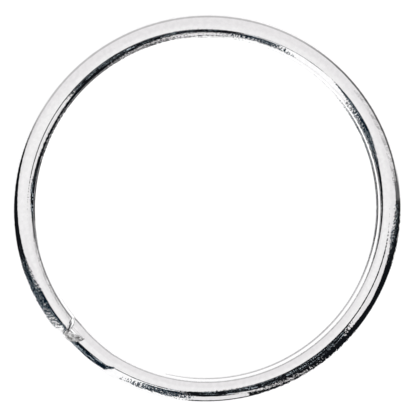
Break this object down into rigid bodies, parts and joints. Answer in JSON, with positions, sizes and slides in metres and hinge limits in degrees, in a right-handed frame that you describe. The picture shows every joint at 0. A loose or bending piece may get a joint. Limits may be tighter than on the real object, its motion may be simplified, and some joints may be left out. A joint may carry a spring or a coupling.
{
  "type": "split key ring",
  "caption": "Split key ring of flattened spring wire wound into two touching coils that spring apart to take a key.",
  "frame": {"origin": "under the middle of the ring, on the plane that it lies on", "axes": "+Z along the ring's axis, from the rear coil to the front coil; the front coil's end lies at 222.5 degrees, anticlockwise from +X"},
  "size_m": [0.035, 0.035, 0.0033],
  "materials": {
    "plated_wire": "bright nickel plate over spring steel"
  },
  "bodies": {
    "rear_free_half": {"rear_tip": "plated_wire", "rear_coil_1": "plated_wire", "rear_coil_2": "plated_wire", "rear_coil_3": "plated_wire", "rear_coil_4": "plated_wire", "rear_coil_5": "plated_wire"},
    "rear_part_6": {"rear_coil_6": "plated_wire"},
    "rear_part_7": {"rear_coil_7": "plated_wire"},
    "rear_part_8": {"rear_coil_8": "plated_wire"},
    "rear_part_9": {"rear_coil_9": "plated_wire"},
    "crossover_part": {"rear_coil_10": "plated_wire", "crossover_bend": "plated_wire", "front_coil_6": "plated_wire", "front_coil_7": "plated_wire", "front_coil_8": "plated_wire", "front_coil_9": "plated_wire", "front_coil_10": "plated_wire"},
    "front_part_5": {"front_coil_5": "plated_wire"},
    "front_part_4": {"front_coil_4": "plated_wire"},
    "front_part_3": {"front_coil_3": "plated_wire"},
    "front_part_2": {"front_coil_2": "plated_wire"},
    "front_end_part": {"front_coil_1": "plated_wire", "front_tip": "plated_wire"}
  },
  "joints": [
    {"name": "rear_opening", "type": "hinge", "parent": "rear_free_half", "child": "rear_part_6", "pos_m": [0.00509, 0.01566, 0.00082], "axis": [-0.9511, 0.309, 0], "range_deg": [0, 2.2], "stiffness_Nm_per_rad": 0.001},
    {"name": "rear_twist_2", "type": "hinge", "parent": "rear_part_6", "child": "rear_part_7", "pos_m": [-0.00342, 0.01611, 0.00082], "axis": [-0.9781, -0.2079, 0], "range_deg": [0, 2.06]},
    {"name": "rear_twist_3", "type": "hinge", "parent": "rear_part_7", "child": "rear_part_8", "pos_m": [-0.01102, 0.01224, 0.00082], "axis": [-0.7431, -0.6691, 0], "range_deg": [0, 1.66]},
    {"name": "rear_twist_4", "type": "hinge", "parent": "rear_part_8", "child": "rear_part_9", "pos_m": [-0.01566, 0.00509, 0.00082], "axis": [-0.309, -0.9511, 0], "range_deg": [0, 1.11]},
    {"name": "rear_twist_5", "type": "hinge", "parent": "rear_part_9", "child": "crossover_part", "pos_m": [-0.01611, -0.00342, 0.00082], "axis": [0.2079, -0.9781, 0], "range_deg": [0, 0.56]},
    {"name": "front_opening", "type": "hinge", "parent": "crossover_part", "child": "front_part_5", "pos_m": [0.01214, 0.01113, 0.00252], "axis": [-0.6756, 0.7373, 0], "range_deg": [0, 2.2], "stiffness_Nm_per_rad": 0.001},
    {"name": "front_twist_2", "type": "hinge", "parent": "front_part_5", "child": "front_part_4", "pos_m": [0.00495, 0.01571, 0.00252], "axis": [-0.9537, 0.3007, 0], "range_deg": [0, 2.06]},
    {"name": "front_twist_3", "type": "hinge", "parent": "front_part_4", "child": "front_part_3", "pos_m": [-0.00357, 0.01608, 0.00252], "axis": [-0.9763, -0.2164, 0], "range_deg": [0, 1.66]},
    {"name": "front_twist_4", "type": "hinge", "parent": "front_part_3", "child": "front_part_2", "pos_m": [-0.01113, 0.01214, 0.00252], "axis": [-0.7373, -0.6756, 0], "range_deg": [0, 1.11]},
    {"name": "front_twist_5", "type": "hinge", "parent": "front_part_2", "child": "front_end_part", "pos_m": [-0.01571, 0.00495, 0.00252], "axis": [-0.3007, -0.9537, 0], "range_deg": [0, 0.56]}
  ],
  "couplings": [
    {"joint": "rear_twist_2", "follows": "rear_opening", "ratio": 0.933},
    {"joint": "rear_twist_3", "follows": "rear_opening", "ratio": 0.75},
    {"joint": "rear_twist_4", "follows": "rear_opening", "ratio": 0.5},
    {"joint": "rear_twist_5", "follows": "rear_opening", "ratio": 0.25},
    {"joint": "front_twist_2", "follows": "front_opening", "ratio": 0.933},
    {"joint": "front_twist_3", "follows": "front_opening", "ratio": 0.75},
    {"joint": "front_twist_4", "follows": "front_opening", "ratio": 0.5},
    {"joint": "front_twist_5", "follows": "front_opening", "ratio": 0.25}
  ]
}
